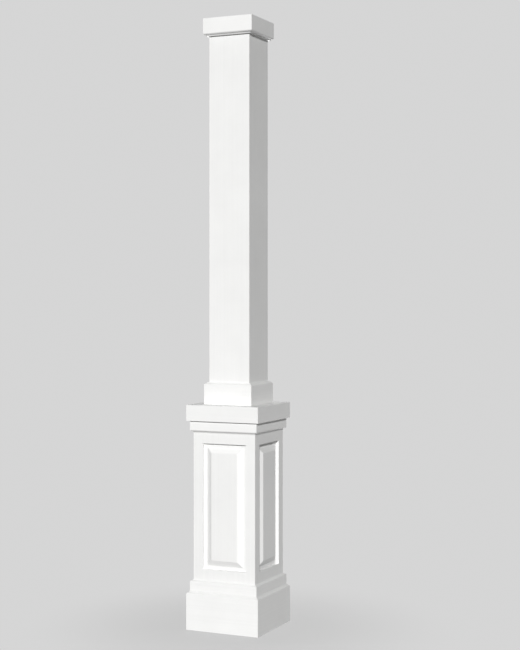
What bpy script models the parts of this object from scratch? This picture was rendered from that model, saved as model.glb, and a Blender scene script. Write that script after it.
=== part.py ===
"""Porch column wrap: a panelled pedestal, a square shaft and their trim, in boards mitred round a hollow way.

Metres, +Z up. The origin is on the ground in the middle of the plinth, and the front looks towards -Y.
Each level is four boards, one to a side. The front one is modelled and the others are turned copies of it.
"""

import math

import bmesh
import bpy
from mathutils import Matrix, Vector

# Room left between neighbouring pieces
GAP = 0.0003

# Shaft: four boards round the post, standing on the cap plate
TOTAL_HEIGHT = 2.4384
SHAFT_WIDTH = 0.1770
SHAFT_BOARD_THICKNESS = 0.0155

# Pedestal: four framed sheets under a plate
PEDESTAL_WIDTH = 0.2700
PEDESTAL_HEIGHT = 0.8950
FRAME_THICKNESS = 0.0127
STILE_WIDTH = 0.0413
RAIL_SHOWING = 0.0420
CAP_PLATE_THICKNESS = 0.0190

# Raised panels behind the windows of the frames
PANEL_BORDER_THICKNESS = 0.0127
PANEL_MARGIN = 0.0143
PANEL_BEVEL_WIDTH = 0.0230
PANEL_SETBACK = 0.0008

# Ogee edge that all the mouldings share: two arcs, rounded outside and hollow inside
OGEE_HEIGHT = 0.0111
OGEE_DEPTH = 0.0103
OGEE_SWEEP = math.radians(60)
OGEE_ARC_STEPS = 8

# Trim on the pedestal, from the ground up
PLINTH_HEIGHT = 0.1540
PLINTH_LEDGE = 0.0008
BASE_MOULDING_HEIGHT = 0.0470
MOULDING_LAND = 0.0005
NECK_MOULDING_HEIGHT = 0.0470
FASCIA_HEIGHT = 0.0635
FASCIA_STEP = 0.0111

# Trim on the shaft
COLLAR_HEIGHT = 0.0889
COLLAR_THICKNESS = 0.0156
CAPITAL_HEIGHT = 0.0714
CAPITAL_THICKNESS = 0.0187

# The four sides, and how far each is turned from the front
SIDES = {"front": 0, "right": 90, "back": 180, "left": 270}

# A mitre's end faces keep the gap between them when each is drawn back by this much along the wall
MITRE_SETBACK = GAP / math.sqrt(2)

# Distances from the axis to the faces of the boards
SHAFT_FACE = SHAFT_WIDTH / 2
SHAFT_INNER = SHAFT_FACE - SHAFT_BOARD_THICKNESS
FRAME_FACE = PEDESTAL_WIDTH / 2
FRAME_BACK = FRAME_FACE - FRAME_THICKNESS
PANEL_FRONT = FRAME_BACK - GAP
TRIM_BACK = FRAME_FACE + GAP
MOULDING_FACE = TRIM_BACK + MOULDING_LAND + OGEE_DEPTH
PLINTH_FACE = MOULDING_FACE + PLINTH_LEDGE + OGEE_DEPTH
FASCIA_FACE = MOULDING_FACE + FASCIA_STEP
COLLAR_BACK = SHAFT_FACE + GAP
COLLAR_FACE = COLLAR_BACK + COLLAR_THICKNESS
CAPITAL_FACE = COLLAR_BACK + CAPITAL_THICKNESS

# Levels
BASE_MOULDING_TOP = PLINTH_HEIGHT + BASE_MOULDING_HEIGHT
FASCIA_FOOT = PEDESTAL_HEIGHT - FASCIA_HEIGHT
NECK_MOULDING_FOOT = FASCIA_FOOT - NECK_MOULDING_HEIGHT
CAP_PLATE_FOOT = PEDESTAL_HEIGHT - CAP_PLATE_THICKNESS
FRAME_TOP = CAP_PLATE_FOOT - GAP
SHAFT_FOOT = PEDESTAL_HEIGHT + GAP
COLLAR_TOP = SHAFT_FOOT + COLLAR_HEIGHT
CAPITAL_FOOT = TOTAL_HEIGHT - CAPITAL_HEIGHT

# Windows in the frames, and the panels behind them
WINDOW_HALF_WIDTH = FRAME_FACE - STILE_WIDTH
WINDOW_FOOT = BASE_MOULDING_TOP + RAIL_SHOWING
WINDOW_TOP = NECK_MOULDING_FOOT - RAIL_SHOWING
PANEL_HALF_WIDTH = PANEL_FRONT - MITRE_SETBACK
PANEL_LAP = PANEL_HALF_WIDTH - WINDOW_HALF_WIDTH
PANEL_RISE = FRAME_THICKNESS + GAP - PANEL_SETBACK

COLLECTION_NAME = "porch_column_wrap"
CUTTER_COLLECTION_NAME = "cutters"


def clear_scene():
    """Remove the objects that the file opened with."""
    for item in list(bpy.data.objects):
        bpy.data.objects.remove(item, do_unlink=True)


def new_collection(name):
    collection = bpy.data.collections.new(name)
    bpy.context.scene.collection.children.link(collection)
    return collection


def white_board_material(name, colour, roughness):
    """White cellular board: a soft sheen and no metal."""
    material = bpy.data.materials.new(name)
    material.use_nodes = True
    shader = material.node_tree.nodes["Principled BSDF"]
    shader.inputs["Base Color"].default_value = (*colour, 1.0)
    shader.inputs["Roughness"].default_value = roughness
    shader.inputs["Metallic"].default_value = 0.0
    material.diffuse_color = (*colour, 1.0)
    return material


def extruded_mesh(name, outlines, thickness):
    """Fill closed outlines in a plane, an inner one being a hole, and give them a thickness about that plane."""
    curve = bpy.data.curves.new(name, "CURVE")
    curve.dimensions = "2D"
    curve.fill_mode = "BOTH"
    curve.extrude = thickness / 2
    for outline in outlines:
        spline = curve.splines.new("POLY")
        spline.points.add(len(outline) - 1)
        for point, (across, up) in zip(spline.points, outline):
            point.co = (across, up, 0.0, 1.0)
        spline.use_cyclic_u = True
    holder = bpy.data.objects.new(name, curve)
    bpy.context.scene.collection.objects.link(holder)
    evaluated = holder.evaluated_get(bpy.context.evaluated_depsgraph_get())
    mesh = bpy.data.meshes.new_from_object(evaluated)
    bpy.data.objects.remove(holder, do_unlink=True)
    bpy.data.curves.remove(curve)
    shape = bmesh.new()
    shape.from_mesh(mesh)
    bmesh.ops.remove_doubles(shape, verts=shape.verts, dist=GAP / 10)
    bmesh.ops.recalc_face_normals(shape, faces=shape.faces)
    shape.to_mesh(mesh)
    shape.free()
    return mesh


def rectangle(left, foot, right, top):
    return [(left, foot), (right, foot), (right, top), (left, top)]


def arc_points(start, end, sweep, steps, bulge):
    """Points after the start, along an arc of a given sweep that bulges to the left (1) or to the right (-1)."""
    chord = Vector(end) - Vector(start)
    radius = chord.length / (2 * math.sin(sweep / 2))
    left = Vector((-chord.y, chord.x)).normalized()
    centre = Vector(start) + chord / 2 - left * bulge * radius * math.cos(sweep / 2)
    spoke = Vector(start) - centre
    points = []
    for step in range(1, steps + 1):
        turn = Matrix.Rotation(-bulge * sweep * step / steps, 2)
        points.append(tuple(centre + turn @ spoke))
    return points


def board_outline(back, face, foot, top):
    """Cross-section of a square-edged board: distance from the axis, and height."""
    return rectangle(back, foot, face, top)


def ogee_outline(back, face, plain_end, ogee_end):
    """Cross-section of a board whose outer edge turns in to its ogee at one end, which may be above or below."""
    upward = math.copysign(1.0, ogee_end - plain_end)
    start = (face, ogee_end - upward * OGEE_HEIGHT)
    middle = (face - OGEE_DEPTH / 2, ogee_end - upward * OGEE_HEIGHT / 2)
    end = (face - OGEE_DEPTH, ogee_end)
    outline = [(back, ogee_end), (back, plain_end), (face, plain_end), start]
    outline += arc_points(start, middle, OGEE_SWEEP, OGEE_ARC_STEPS, -upward)
    outline += arc_points(middle, end, OGEE_SWEEP, OGEE_ARC_STEPS, upward)
    return outline


def mitre_ends(mesh):
    """Slide both ends of a front board along X, on to the diagonals where its neighbours meet it."""
    for vertex in mesh.vertices:
        reach = abs(vertex.co.y) - MITRE_SETBACK
        vertex.co.x = math.copysign(reach, vertex.co.x)


def front_board_mesh(name, outline):
    """A cross-section run along the front side, mitred at both ends."""
    furthest = max(distance for distance, height in outline)
    mesh = extruded_mesh(name, [outline], 2 * furthest)
    # The section's own plane, across and up, stands at -Y and up, and its thickness runs along X
    mesh.transform(Matrix(((0, 0, 1, 0), (-1, 0, 0, 0), (0, 1, 0, 0), (0, 0, 0, 1))))
    mitre_ends(mesh)
    if mesh_volume(mesh) < 0:
        mesh.flip_normals()
    return mesh


def mesh_volume(mesh):
    shape = bmesh.new()
    shape.from_mesh(mesh)
    volume = shape.calc_volume(signed=True)
    shape.free()
    return volume


def raised_panel_mesh(name):
    """The front panel: a mitred board, with its field raised by two insets of the face that shows."""
    foot = WINDOW_FOOT - PANEL_LAP
    top = WINDOW_TOP + PANEL_LAP
    mesh = front_board_mesh(name, board_outline(PANEL_FRONT - PANEL_BORDER_THICKNESS, PANEL_FRONT, foot, top))
    shape = bmesh.new()
    shape.from_mesh(mesh)
    bmesh.ops.dissolve_limit(shape, angle_limit=math.radians(1), verts=shape.verts, edges=shape.edges)
    shape.faces.ensure_lookup_table()
    shown = min(shape.faces, key=lambda face: face.calc_center_median().y)
    bmesh.ops.inset_region(shape, faces=[shown], thickness=PANEL_LAP + PANEL_MARGIN, use_even_offset=True)
    bmesh.ops.inset_region(shape, faces=[shown], thickness=PANEL_BEVEL_WIDTH, use_even_offset=True)
    bmesh.ops.translate(shape, verts=shown.verts, vec=(0, -PANEL_RISE, 0))
    shape.to_mesh(mesh)
    shape.free()
    return mesh


def place_on_sides(name, mesh, material, collection, parent):
    """One object to each side, all sharing the front board's mesh."""
    mesh.materials.clear()
    mesh.materials.append(material)
    boards = {}
    for side, turn in SIDES.items():
        board = bpy.data.objects.new(f"{name}_{side}", mesh)
        board.rotation_euler = (0, 0, math.radians(turn))
        board.parent = parent
        collection.objects.link(board)
        boards[side] = board
    return boards


def window_cutter(name, turn, collection):
    """A bar through two opposite frames, as wide and tall as their windows."""
    bpy.ops.mesh.primitive_cube_add(size=1)
    cutter = bpy.context.object
    cutter.name = name
    cutter.data.transform(Matrix.Diagonal((2 * WINDOW_HALF_WIDTH, 2 * PEDESTAL_WIDTH, WINDOW_TOP - WINDOW_FOOT, 1)))
    cutter.location = (0, 0, (WINDOW_FOOT + WINDOW_TOP) / 2)
    cutter.rotation_euler = (0, 0, math.radians(turn))
    cutter.hide_render = True
    cutter.display_type = "WIRE"
    for holder in list(cutter.users_collection):
        holder.objects.unlink(cutter)
    collection.objects.link(cutter)
    return cutter


def cut_windows(frames, cutters):
    """Each frame is cut by the bar that runs through it."""
    for side, frame in frames.items():
        cut = frame.modifiers.new("window", "BOOLEAN")
        cut.operation = "DIFFERENCE"
        cut.solver = "EXACT"
        cut.object = cutters[SIDES[side] % 180]


def cap_plate(material, collection, parent):
    """Flat plate on the frames, with the square hole that the post passes through."""
    outer = rectangle(-FRAME_FACE, -FRAME_FACE, FRAME_FACE, FRAME_FACE)
    hole = rectangle(-SHAFT_INNER, -SHAFT_INNER, SHAFT_INNER, SHAFT_INNER)
    mesh = extruded_mesh("cap_plate", [outer, hole], CAP_PLATE_THICKNESS)
    mesh.materials.append(material)
    plate = bpy.data.objects.new("cap_plate", mesh)
    plate.location = (0, 0, CAP_PLATE_FOOT + CAP_PLATE_THICKNESS / 2)
    plate.parent = parent
    collection.objects.link(plate)


def build():
    clear_scene()
    parts = new_collection(COLLECTION_NAME)
    cutters = new_collection(CUTTER_COLLECTION_NAME)
    axis = bpy.data.objects.new("column_axis", None)
    parts.objects.link(axis)

    sheet_white = white_board_material("sheet_white", (0.86, 0.86, 0.85), 0.42)
    trim_white = white_board_material("trim_white", (0.88, 0.88, 0.87), 0.38)

    outlines = {
        "plinth": ogee_outline(TRIM_BACK, PLINTH_FACE, 0.0, PLINTH_HEIGHT),
        "base_moulding": ogee_outline(TRIM_BACK, MOULDING_FACE, PLINTH_HEIGHT + GAP, BASE_MOULDING_TOP),
        "neck_moulding": ogee_outline(TRIM_BACK, MOULDING_FACE, FASCIA_FOOT - GAP, NECK_MOULDING_FOOT),
        "cap_fascia": board_outline(TRIM_BACK, FASCIA_FACE, FASCIA_FOOT, PEDESTAL_HEIGHT),
        "collar": ogee_outline(COLLAR_BACK, COLLAR_FACE, SHAFT_FOOT, COLLAR_TOP),
        "capital": ogee_outline(COLLAR_BACK, CAPITAL_FACE, TOTAL_HEIGHT, CAPITAL_FOOT),
    }
    for name, outline in outlines.items():
        place_on_sides(name, front_board_mesh(name, outline), trim_white, parts, axis)

    shaft_outline = board_outline(SHAFT_INNER, SHAFT_FACE, SHAFT_FOOT, TOTAL_HEIGHT)
    place_on_sides("shaft_board", front_board_mesh("shaft_board", shaft_outline), sheet_white, parts, axis)

    frame_outline = board_outline(FRAME_BACK, FRAME_FACE, 0.0, FRAME_TOP)
    frame_mesh = front_board_mesh("pedestal_frame", frame_outline)
    frames = place_on_sides("pedestal_frame", frame_mesh, sheet_white, parts, axis)
    bars = {turn: window_cutter(f"window_cutter_{turn}", turn, cutters) for turn in (0, 90)}
    cut_windows(frames, bars)

    place_on_sides("raised_panel", raised_panel_mesh("raised_panel"), sheet_white, parts, axis)
    cap_plate(sheet_white, parts, axis)


build()
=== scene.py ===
"""Porch column wrap, dressed: eased and mitred white cellular boards in a pale studio.

Metres, +Z up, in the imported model's own frame. Each board is modelled for the front side, which looks
towards -Y, and is then turned to the side it stands on.
"""

import math

import bmesh
import bpy
from mathutils import Matrix, Vector


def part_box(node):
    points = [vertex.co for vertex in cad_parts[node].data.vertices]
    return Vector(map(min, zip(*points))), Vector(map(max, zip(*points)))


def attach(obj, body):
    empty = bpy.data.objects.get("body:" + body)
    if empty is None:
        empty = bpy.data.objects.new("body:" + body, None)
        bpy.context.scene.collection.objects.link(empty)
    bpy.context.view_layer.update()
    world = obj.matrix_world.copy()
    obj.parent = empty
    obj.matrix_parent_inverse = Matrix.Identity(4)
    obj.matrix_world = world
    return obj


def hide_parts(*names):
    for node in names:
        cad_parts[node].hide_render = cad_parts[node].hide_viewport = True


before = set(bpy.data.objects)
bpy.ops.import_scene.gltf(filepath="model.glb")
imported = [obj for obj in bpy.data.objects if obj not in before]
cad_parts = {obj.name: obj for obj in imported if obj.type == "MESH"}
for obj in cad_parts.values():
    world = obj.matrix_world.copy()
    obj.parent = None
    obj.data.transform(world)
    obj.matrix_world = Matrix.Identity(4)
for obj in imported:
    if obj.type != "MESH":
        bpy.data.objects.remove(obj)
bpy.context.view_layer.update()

# How far each side is turned from the front, and the axis that a level board runs along there
SIDES = {"front": (0, "x"), "right": (90, "y"), "back": (180, "x"), "left": (270, "y")}
QUARTER_TURN = math.radians(90)

# Ogee edge of the mouldings: two arcs, rounded outside and hollow inside
OGEE_HEIGHT = 0.0111
OGEE_DEPTH = 0.0103
OGEE_SWEEP = math.radians(60)
OGEE_ARC_STEPS = 10

# Hairline that neighbouring boards keep, and half of a mitre's, measured along the wall
HAIRLINE = 0.0003
MITRE_SETBACK = HAIRLINE / math.sqrt(2)

# Raised panel: flat margin in the window, and the bevel that rises to the field
PANEL_MARGIN = 0.0143
PANEL_BEVEL_WIDTH = 0.0230

# Eased edges: the width of most, of those on fine work, and the angle from which an edge is eased
EASED_WIDTH = 0.0006
FINE_WIDTH = 0.0004
EASED_STEPS = 3
ARRIS_ANGLE = math.radians(25)

# Folds past the first angle are shaded crisp, and on the panels, whose bevels are low, past the second
SMOOTH_ANGLE = math.radians(50)
CREASE_ANGLE = math.radians(20)

# A corner this near to a board's outline or back counts as on it, and one this near to a cut as on that
ON_IT = 0.0001
ON_CUT = 1e-7

# A face is square to an axis, sloped to it, or a mitre, where its normal's shares along the axes pass these
SQUARE_ON = 0.999
SLOPED = 0.05
MITRED = 0.6

# A window's rim is inset by this much before it is moved to its place
FIRST_INSET = 0.01

# Order of the finishes on every board
SKIN, MILLED_LEVEL, MILLED_UPRIGHT, SAWN = range(4)

# Whites of the sheets, of the trim and of their core, the brightest paint, and the painted shade that darkens
# a sawn cell's colour
SHEET_WHITE = (0.86, 0.86, 0.85)
TRIM_WHITE = (0.88, 0.88, 0.87)
CORE_WHITE = (0.84, 0.84, 0.82)
BRIGHTEST_PAINT = 0.93
CELL_PAINTED_SHADE = (0.80, 0.79, 0.76)

# Noise keeps nearly all of its values between these two
NOISE_LOW = 0.3
NOISE_HIGH = 0.7

# Share of a pore's radius over which it has its full depth
PORE_FLOOR = 0.4

# A Mix node's sockets for colours go by number, because those for plain numbers have the same names
MIX_SHARE, MIX_FIRST, MIX_SECOND = 0, 6, 7
MIXED_COLOUR = 2


class Amount:
    """A shader value that can be added to and multiplied: each operator lays down a Math node."""

    def __init__(self, wiring, socket):
        self.wiring = wiring
        self.socket = socket

    def combine(self, operation, first, second):
        return self.wiring.node("ShaderNodeMath", {"operation": operation}, {0: first, 1: second})

    def __add__(self, other):
        return self.combine("ADD", self, other)

    def __radd__(self, other):
        return self.combine("ADD", other, self)

    def __sub__(self, other):
        return self.combine("SUBTRACT", self, other)

    def __rsub__(self, other):
        return self.combine("SUBTRACT", other, self)

    def __mul__(self, other):
        return self.combine("MULTIPLY", self, other)

    def __rmul__(self, other):
        return self.combine("MULTIPLY", other, self)


class Wiring:
    """A node tree under way, with one method that lays down any node."""

    def __init__(self, tree):
        self.tree = tree

    def feed(self, socket, value):
        """Link a value that varies, or set one that doesn't."""
        if isinstance(value, Amount):
            self.tree.links.new(value.socket, socket)
        else:
            socket.default_value = value

    def node(self, kind, settings=None, values=None, output=0):
        """Lay down a node with its settings and the values or links of its sockets, and return an output."""
        made = self.tree.nodes.new(kind)
        for name, setting in (settings or {}).items():
            setattr(made, name, setting)
        for name, value in (values or {}).items():
            self.feed(made.inputs[name], value)
        return Amount(self, made.outputs[output])


class Finish(Wiring):
    """A material under way."""

    def __init__(self, name, colour, roughness):
        self.material = bpy.data.materials.new(name)
        self.material.use_nodes = True
        self.material.diffuse_color = (*colour, 1.0)
        super().__init__(self.material.node_tree)
        self.shader = self.tree.nodes["Principled BSDF"]
        self.shader.inputs["Base Color"].default_value = (*colour, 1.0)
        self.shader.inputs["Roughness"].default_value = roughness
        self.place = self.node("ShaderNodeTexCoord", output="Object")

    def stretched(self, run, along, across):
        """Place on the surface, scaled by so much along the board's run and so much across it."""
        scale = [along if axis == run else across for axis in "xyz"]
        return self.node("ShaderNodeMapping", values={"Vector": self.place, "Scale": scale})

    def noise(self, place, scale, detail, roughness=0.5):
        values = {"Vector": place, "Scale": scale, "Detail": detail, "Roughness": roughness}
        return self.node("ShaderNodeTexNoise", values=values)

    def pores(self, scale, size):
        """Small open cells: 1 in a pore and 0 on the plastic between them."""
        off_centre = self.node("ShaderNodeTexVoronoi", values={"Vector": self.place, "Scale": scale})
        depth = {"From Min": size, "From Max": size * PORE_FLOOR, "To Min": 0.0, "To Max": 1.0}
        settings = {"interpolation_type": "SMOOTHSTEP"}
        return self.node("ShaderNodeMapRange", settings, {"Value": off_centre, **depth})

    def spread(self, shade):
        """Stretch noise, which keeps near its middle, over the whole range from 0 to 1."""
        values = {"Value": shade, "From Min": NOISE_LOW, "From Max": NOISE_HIGH}
        return self.node("ShaderNodeMapRange", values=values)

    def colour_between(self, share, first, second):
        values = {MIX_SHARE: share, MIX_FIRST: (*first, 1.0), MIX_SECOND: (*second, 1.0)}
        return self.node("ShaderNodeMix", {"data_type": "RGBA"}, values, output=MIXED_COLOUR)

    def complete(self, colour, roughness, height, depth, strength):
        """Feed the shader: colour, roughness, and a relief of so many metres."""
        values = {"Height": height, "Distance": depth, "Strength": strength}
        self.feed(self.shader.inputs["Base Color"], colour)
        self.feed(self.shader.inputs["Roughness"], roughness)
        self.feed(self.shader.inputs["Normal"], self.node("ShaderNodeBump", values=values))
        return self.material


def tinted(white, share):
    """A duller or brighter white, up to the brightest that paint gets."""
    return tuple(min(part * share, BRIGHTEST_PAINT) for part in white)


def board_skin(name, run, white):
    """Painted skin of a cellular board: roller stipple over faint lengthwise draw lines, softly mottled."""
    skin = Finish(name, white, roughness=0.4)
    mottling = skin.noise(skin.place, scale=5.0, detail=4.0, roughness=0.6)
    drawn_out = skin.stretched(run, along=1.4, across=130.0)
    draw_lines = skin.noise(drawn_out, scale=1.0, detail=4.0, roughness=0.65)
    stipple = skin.noise(skin.place, scale=520.0, detail=3.0, roughness=0.6)
    shade = mottling * 0.5 + draw_lines * 0.3 + stipple * 0.2
    colour = skin.colour_between(skin.spread(shade), tinted(white, 0.95), tinted(white, 1.045))
    roughness = 0.24 + mottling * 0.16 + draw_lines * 0.1 + stipple * 0.1
    height = draw_lines * 0.45 + stipple * 0.55
    return skin.complete(colour, roughness, height, depth=0.0003, strength=0.55)


def board_milled(name, run, white):
    """Moulded or routed face: cutter lines along the run, and the first open cells under thin paint, which
    are darkened in colour as painted shade.
    """
    milled = Finish(name, white, roughness=0.5)
    mottling = milled.noise(milled.place, scale=9.0, detail=2.0)
    drawn_out = milled.stretched(run, along=6.0, across=900.0)
    cutter_lines = milled.noise(drawn_out, scale=1.0, detail=3.0, roughness=0.6)
    cells = milled.pores(scale=1300.0, size=0.26)
    # The colour darkens with the mottling and cutter lines, which are tone, and in the pores, which is
    # painted shade
    shade = mottling * 0.4 + cutter_lines * 0.3 + cells * 0.3
    colour = milled.colour_between(shade, white, tinted(white, 0.91))
    roughness = 0.40 + cutter_lines * 0.2 + cells * 0.1
    height = cutter_lines * 0.6 - cells * 0.4
    return milled.complete(colour, roughness, height, depth=0.0002, strength=0.55)


def board_sawn(name, white):
    """Sawn end: the open cellular core, its cells darkened in colour as painted shade, with the saw's strokes
    across it.
    """
    sawn = Finish(name, white, roughness=0.65)
    cells = sawn.pores(scale=900.0, size=0.34)
    small_cells = sawn.pores(scale=2100.0, size=0.30)
    strokes = sawn.stretched("z", along=700.0, across=5.0)
    saw_lines = sawn.noise(strokes, scale=1.0, detail=2.0)
    # Darker, slightly warm colour inside the cells: painted shade in the pores
    cell_painted_shade_colour = tuple(part * shade for part, shade in zip(white, CELL_PAINTED_SHADE))
    colour = sawn.colour_between(cells * 0.6 + small_cells * 0.3, white, cell_painted_shade_colour)
    roughness = 0.58 + saw_lines * 0.18
    height = saw_lines * 0.3 - cells * 0.5 - small_cells * 0.2
    return sawn.complete(colour, roughness, height, depth=0.0004, strength=0.7)


sheet_skins = {run: board_skin(f"sheet_skin_{run}", run, SHEET_WHITE) for run in "xz"}
trim_skins = {run: board_skin(f"trim_skin_{run}", run, TRIM_WHITE) for run in "xy"}
milled_faces = {run: board_milled(f"milled_{run}", run, TRIM_WHITE) for run in "xyz"}
sawn_ends = board_sawn("sawn_core", CORE_WHITE)


def reach(node):
    """How far a front board's back and face are from the axis, and its foot and top."""
    low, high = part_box(node)
    return -high.y, -low.y, low.z, high.z


def centre_of_arc(start, end, sweep, bulge):
    """Centre, across and up, of the arc between two points that bulges to its left (1) or right (-1)."""
    chord = end - start
    left = Vector((-chord.y, chord.x)).normalized()
    radius = chord.length / (2 * math.sin(sweep / 2))
    return start + chord / 2 - left * bulge * radius * math.cos(sweep / 2)


def add_arc(shape, corner, end, bulge):
    """Carry a profile on from a corner, round one of the ogee's arcs, and return the corner it stops at."""
    here = Vector((corner.co.y, corner.co.z))
    centre = centre_of_arc(here, Vector(end), OGEE_SWEEP, bulge)
    turned = bmesh.ops.spin(
        shape, geom=[corner], cent=(corner.co.x, centre.x, centre.y), axis=(1, 0, 0),
        angle=-bulge * OGEE_SWEEP, steps=OGEE_ARC_STEPS, use_duplicate=False)
    return turned["geom_last"][0]


def chain(shape, corners):
    """Join corners one after another."""
    for first, second in zip(corners, corners[1:]):
        shape.edges.new((first, second))


def board_profile(shape, x, back, face, foot, top, ogee=None):
    """Outline of a board, standing across its run at x. The ogee, if any, is at its "top" or its "foot"."""
    plain, shaped = (foot, top) if ogee == "top" else (top, foot)
    corners = [shape.verts.new((x, -back, plain)), shape.verts.new((x, -face, plain))]
    if ogee is None:
        corners += [shape.verts.new((x, -face, shaped)), shape.verts.new((x, -back, shaped))]
        chain(shape, corners + corners[:1])
    else:
        upward = math.copysign(1, shaped - plain)
        start = shape.verts.new((x, -face, shaped - upward * OGEE_HEIGHT))
        chain(shape, corners + [start])
        half_way = (-face + OGEE_DEPTH / 2, shaped - upward * OGEE_HEIGHT / 2)
        middle = add_arc(shape, start, half_way, upward)
        end = add_arc(shape, middle, (-face + OGEE_DEPTH, shaped), -upward)
        chain(shape, [end, shape.verts.new((x, -back, shaped)), corners[0]])
        bmesh.ops.dissolve_verts(shape, verts=[middle])
    filled = bmesh.ops.edgeloop_fill(shape, edges=shape.edges)
    return filled["faces"][0]


def mitred_run(back, face, foot, top, ogee=None):
    """A front board run from corner to corner, cut off on the diagonals and closed at both ends."""
    shape = bmesh.new()
    profile = board_profile(shape, -face, back, face, foot, top, ogee)
    drawn = bmesh.ops.extrude_discrete_faces(shape, faces=[profile])["faces"][0]
    bmesh.ops.translate(shape, verts=drawn.verts, vec=(2 * face, 0, 0))
    for end in (-1, 1):
        parts = shape.verts[:] + shape.edges[:] + shape.faces[:]
        cut = bmesh.ops.bisect_plane(
            shape, geom=parts, dist=ON_CUT, plane_co=(-end * MITRE_SETBACK, 0, 0),
            plane_no=Vector((end, 1, 0)).normalized(), clear_outer=True)
        edges = [part for part in cut["geom_cut"] if isinstance(part, bmesh.types.BMEdge)]
        bmesh.ops.edgeloop_fill(shape, edges=edges)
    bmesh.ops.recalc_face_normals(shape, faces=shape.faces)
    return shape


def mark_finishes(shape, ends_sawn):
    """Give each face of a board its finish, by the way that it looks."""
    for part in shape.faces:
        way = part.normal
        if way.y > MITRED and abs(way.x) > MITRED:
            part.material_index = SAWN
        elif abs(way.z) > SQUARE_ON:
            part.material_index = SAWN if ends_sawn else SKIN
        elif abs(way.z) > SLOPED:
            part.material_index = MILLED_LEVEL
        else:
            part.material_index = SKIN


def mark_milled(faces):
    """Give the faces of a cut their milled finish, with its lines along the cut."""
    for part in faces:
        part.material_index = MILLED_LEVEL if abs(part.normal.z) > SLOPED else MILLED_UPRIGHT


def ease(shape, width, wanted):
    """Round the sharp edges that a test picks."""
    edges = []
    for edge in shape.edges:
        if len(edge.link_faces) == 2 and edge.calc_face_angle() > ARRIS_ANGLE and wanted(edge):
            edges.append(edge)
    bmesh.ops.bevel(
        shape, geom=edges, offset=width, offset_type="OFFSET", affect="EDGES", segments=EASED_STEPS,
        profile=0.5, material=-1, clamp_overlap=True)


def nearest(edge):
    """How far the nearer end of a front board's edge is from the plane through the column's axis."""
    return min(-corner.co.y for corner in edge.verts)


def ease_board(shape, back, width=EASED_WIDTH):
    """Ease a board's edges, apart from those that touch its back."""
    ease(shape, width, lambda edge: nearest(edge) > back + ON_IT)


def finished_piece(name, shape, node, finishes, turn=0, smooth_angle=SMOOTH_ANGLE):
    """Turn a board to its side, make it an object at the origin, and let it stand for its node."""
    mesh = bpy.data.meshes.new(name)
    shape.to_mesh(mesh)
    mesh.transform(Matrix.Rotation(math.radians(turn), 4, "Z"))
    for finish in finishes:
        mesh.materials.append(finish)
    mesh.shade_smooth()
    mesh.set_sharp_from_angle(angle=smooth_angle)
    piece = bpy.data.objects.new(name, mesh)
    bpy.context.scene.collection.objects.link(piece)
    normals = piece.modifiers.new("flat faces stay flat", "WEIGHTED_NORMAL")
    normals.keep_sharp = True
    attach(piece, "root")
    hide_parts(node)


def dress_level(level, shape, upright, smooth_angle=SMOOTH_ANGLE):
    """Stand one copy of a front board's shape on each side."""
    for side, (turn, level_run) in SIDES.items():
        skin = sheet_skins["z"] if upright else trim_skins[level_run]
        finishes = [skin, milled_faces[level_run], milled_faces["z"], sawn_ends]
        node = f"{level}_{side}"
        finished_piece(f"{node}_dressed", shape, node, finishes, turn, smooth_angle)
    shape.free()


def trim(level, ogee, width=EASED_WIDTH):
    """Four mitred strips round the column, with their ogee at the "top", at the "foot" or nowhere."""
    back, face, foot, top = reach(f"{level}_front")
    shape = mitred_run(back, face, foot, top, ogee)
    mark_finishes(shape, ends_sawn=False)
    ease_board(shape, back, width)
    dress_level(level, shape, upright=False)


def shaft_boards():
    """Four long plain boards."""
    back, face, foot, top = reach("shaft_board_front")
    shape = mitred_run(back, face, foot, top)
    mark_finishes(shape, ends_sawn=True)
    ease_board(shape, back)
    dress_level("shaft_board", shape, upright=True)


def window_size():
    """Half width, foot and top of the frames' windows, from the corners that lie inside a frame's outline."""
    low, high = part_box("pedestal_frame_front")
    inner = []
    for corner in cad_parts["pedestal_frame_front"].data.vertices:
        if low.z + ON_IT < corner.co.z < high.z - ON_IT:
            inner.append(corner.co)
    return max(co.x for co in inner), min(co.z for co in inner), max(co.z for co in inner)


def cut_window(shape, half_width, foot, top):
    """Open a window through a board: an inner face in front and behind, and returns between their edges."""
    rims = []
    for way in (-1, 1):
        wide = [part for part in shape.faces if part.normal.y * way > SQUARE_ON]
        inner = max(wide, key=lambda part: part.calc_area())
        bmesh.ops.inset_region(shape, faces=[inner], thickness=FIRST_INSET, use_even_offset=True)
        middle = inner.calc_center_median()
        for corner in inner.verts:
            corner.co.x = math.copysign(half_width, corner.co.x)
            corner.co.z = top if corner.co.z > middle.z else foot
        rims += inner.edges[:]
        bmesh.ops.delete(shape, geom=[inner], context="FACES_ONLY")
    returns = bmesh.ops.bridge_loops(shape, edges=rims)["faces"]
    for part in returns:
        part.normal_update()
    mark_milled(returns)
    bmesh.ops.recalc_face_normals(shape, faces=shape.faces)


def pedestal_frames():
    """Four sheets with a tall window each."""
    back, face, foot, top = reach("pedestal_frame_front")
    half_width, window_foot, window_top = window_size()
    shape = mitred_run(back, face, foot, top)
    mark_finishes(shape, ends_sawn=True)
    cut_window(shape, half_width, window_foot, window_top)
    ease_board(shape, back)
    dress_level("pedestal_frame", shape, upright=True)


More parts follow.
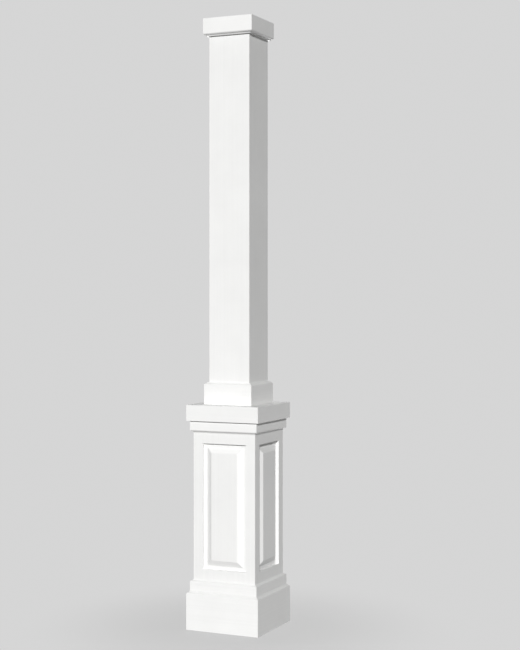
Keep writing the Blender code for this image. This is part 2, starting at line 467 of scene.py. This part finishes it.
def raised_panels():
    """Mitred boards whose shown face steps in twice: flat to the margin, then up the bevel to the field."""
    back, field, foot, top = reach("raised_panel_front")
    border_face = reach("pedestal_frame_front")[0] - HAIRLINE
    half_width = window_size()[0]
    shape = mitred_run(back, border_face, foot, top)
    mark_finishes(shape, ends_sawn=True)
    shown = min(shape.faces, key=lambda part: part.calc_center_median().y)
    lap = border_face - MITRE_SETBACK - half_width
    bmesh.ops.inset_region(shape, faces=[shown], thickness=lap + PANEL_MARGIN, use_even_offset=True)
    bevels = bmesh.ops.inset_region(shape, faces=[shown], thickness=PANEL_BEVEL_WIDTH, use_even_offset=True)
    bmesh.ops.translate(shape, verts=shown.verts, vec=(0, border_face - field, 0))
    bmesh.ops.recalc_face_normals(shape, faces=shape.faces)
    mark_milled(bevels["faces"])
    corners = set(shown.verts)
    ease(shape, FINE_WIDTH, lambda edge: corners.issuperset(edge.verts))
    dress_level("raised_panel", shape, upright=True, smooth_angle=CREASE_ANGLE)


def cap_plate():
    """Flat plate with the post's square hole, its upper edges a little eased."""
    low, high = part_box("cap_plate")
    hole = reach("shaft_board_front")[0]
    shape = bmesh.new()
    bmesh.ops.create_cube(shape, size=1)
    bmesh.ops.scale(shape, verts=shape.verts, vec=high - low)
    bmesh.ops.translate(shape, verts=shape.verts, vec=(low + high) / 2)
    rims = []
    for way in (-1, 1):
        inner = next(part for part in shape.faces if part.normal.z * way > SQUARE_ON)
        bmesh.ops.inset_region(shape, faces=[inner], thickness=high.x - hole, use_even_offset=True)
        rims += inner.edges[:]
        bmesh.ops.delete(shape, geom=[inner], context="FACES_ONLY")
    bmesh.ops.bridge_loops(shape, edges=rims)
    bmesh.ops.recalc_face_normals(shape, faces=shape.faces)
    for part in shape.faces:
        part.material_index = SKIN if abs(part.normal.z) > SQUARE_ON else SAWN
    ease(shape, FINE_WIDTH, lambda edge: all(corner.co.z > high.z - ON_IT for corner in edge.verts))
    finishes = [sheet_skins["x"], milled_faces["x"], milled_faces["z"], sawn_ends]
    finished_piece("cap_plate_dressed", shape, "cap_plate", finishes)
    shape.free()


trim("plinth", "top")
trim("base_moulding", "top", FINE_WIDTH)
trim("neck_moulding", "foot", FINE_WIDTH)
trim("cap_fascia", None)
trim("collar", "top")
trim("capital", "foot")
shaft_boards()
pedestal_frames()
raised_panels()
cap_plate()

# Floor: a thin grey veil a hair below the ground, darkest under the column and fading to nothing at its rim:
# a painted shadow pool, which also catches the key light's real shadow
FLOOR_RADIUS = 0.9
FLOOR_CORNERS = 96
FLOOR_DROP = 0.0005
FLOOR_FADES_FROM = 0.1
# The veil's opacity under the column and its grey, which together paint the shadow pool round the column's
# foot
FLOOR_SHADOW_SHOWN = 0.24
FLOOR_SHADOW_GREY = (0.5, 0.5, 0.5)

# Surround: one tone to the camera, and as a light dim above, brighter below, with a glow from low behind
SURROUND_SEEN = 0.67
SKY_LIGHT = 0.04
GROUND_LIGHT = 0.14
HORIZON_BLEND = 0.1
BACK_LIGHT = 3.8
BACK_AZIMUTH = math.radians(205)
BACK_DIP = math.radians(25)

# Key light: a sun from the front, a little to the right
KEY_STRENGTH = 3.55
KEY_AZIMUTH = math.radians(23)
KEY_ELEVATION = math.radians(20)
KEY_SOFTNESS = math.radians(4)


def floor():
    shape = bmesh.new()
    bmesh.ops.create_circle(shape, cap_ends=True, radius=FLOOR_RADIUS, segments=FLOOR_CORNERS)
    bmesh.ops.translate(shape, verts=shape.verts, vec=(0, 0, -FLOOR_DROP))
    mesh = bpy.data.meshes.new("studio_floor")
    shape.to_mesh(mesh)
    shape.free()
    pale = Finish("floor_shadow_veil", FLOOR_SHADOW_GREY, roughness=0.9)
    # Painted shadow pool: the grey veil is most opaque under the column and fades out towards the rim
    distance = pale.node("ShaderNodeVectorMath", {"operation": "LENGTH"}, {0: pale.place}, output="Value")
    fade = {"From Min": FLOOR_FADES_FROM, "From Max": FLOOR_RADIUS, "To Min": FLOOR_SHADOW_SHOWN, "To Max": 0.0}
    settings = {"interpolation_type": "SMOOTHSTEP"}
    shown = pale.node("ShaderNodeMapRange", settings, {"Value": distance, **fade})
    pale.feed(pale.shader.inputs["Alpha"], shown)
    pale.shader.inputs["Specular IOR Level"].default_value = 0.0
    mesh.materials.append(pale.material)
    ground = bpy.data.objects.new("studio_floor", mesh)
    bpy.context.scene.collection.objects.link(ground)


def surround():
    """World around the column. Its glow falls off with the sixth power of how far it is faced."""
    world = bpy.data.worlds.new("studio_surround")
    world.use_nodes = True
    sky = Wiring(world.node_tree)
    way = sky.node("ShaderNodeTexCoord", output="Generated")
    height = sky.node("ShaderNodeSeparateXYZ", values={0: way}, output="Z")
    blend = {"Value": height, "From Min": -HORIZON_BLEND, "From Max": HORIZON_BLEND}
    above = sky.node("ShaderNodeMapRange", values=blend)
    level = math.cos(BACK_DIP)
    behind = (math.sin(BACK_AZIMUTH) * level, -math.cos(BACK_AZIMUTH) * level, -math.sin(BACK_DIP))
    ways = {0: way, 1: behind}
    turned = sky.node("ShaderNodeVectorMath", {"operation": "DOT_PRODUCT"}, ways, output="Value")
    facing = sky.node("ShaderNodeMapRange", values={"Value": turned})
    glow = facing * facing * facing
    light = GROUND_LIGHT + above * (SKY_LIGHT - GROUND_LIGHT) + glow * glow * BACK_LIGHT
    seen = sky.node("ShaderNodeLightPath", output="Is Camera Ray")
    background = sky.tree.nodes["Background"]
    sky.feed(background.inputs["Color"], (1.0, 1.0, 1.0, 1.0))
    sky.feed(background.inputs["Strength"], light * (1 - seen) + seen * SURROUND_SEEN)
    bpy.context.scene.world = world


def key_light():
    light = bpy.data.lights.new("key_light", "SUN")
    light.energy = KEY_STRENGTH
    light.angle = KEY_SOFTNESS
    lamp = bpy.data.objects.new("key_light", light)
    lamp.rotation_euler = (QUARTER_TURN - KEY_ELEVATION, 0, KEY_AZIMUTH)
    bpy.context.scene.collection.objects.link(lamp)


# Camera: level, with its shift, as fitted to the photograph's converging edges. The sensor is in millimetres
CAMERA_TURN = math.radians(24.6)
CAMERA_DISTANCE = 5.61
CAMERA_ASIDE = 0.0857
CAMERA_HEIGHT = 1.3205
FOCAL_PIXELS = 1390
FRAME_HEIGHT_PIXELS = 650
HORIZON_PIXEL = 298
SENSOR = 36


def camera():
    forward = Vector((-math.sin(CAMERA_TURN), math.cos(CAMERA_TURN), 0))
    right = Vector((math.cos(CAMERA_TURN), math.sin(CAMERA_TURN), 0))
    lens = bpy.data.cameras.new("photo_view")
    lens.sensor_width = SENSOR
    lens.lens = FOCAL_PIXELS * SENSOR / FRAME_HEIGHT_PIXELS
    lens.shift_y = (HORIZON_PIXEL - FRAME_HEIGHT_PIXELS / 2) / FRAME_HEIGHT_PIXELS
    viewer = bpy.data.objects.new("photo_view", lens)
    viewer.location = right * CAMERA_ASIDE - forward * CAMERA_DISTANCE + Vector((0, 0, CAMERA_HEIGHT))
    viewer.rotation_euler = (QUARTER_TURN, 0, CAMERA_TURN)
    bpy.context.scene.collection.objects.link(viewer)
    bpy.context.scene.camera = viewer


floor()
surround()
key_light()
camera()
bpy.context.scene.view_settings.view_transform = "Standard"
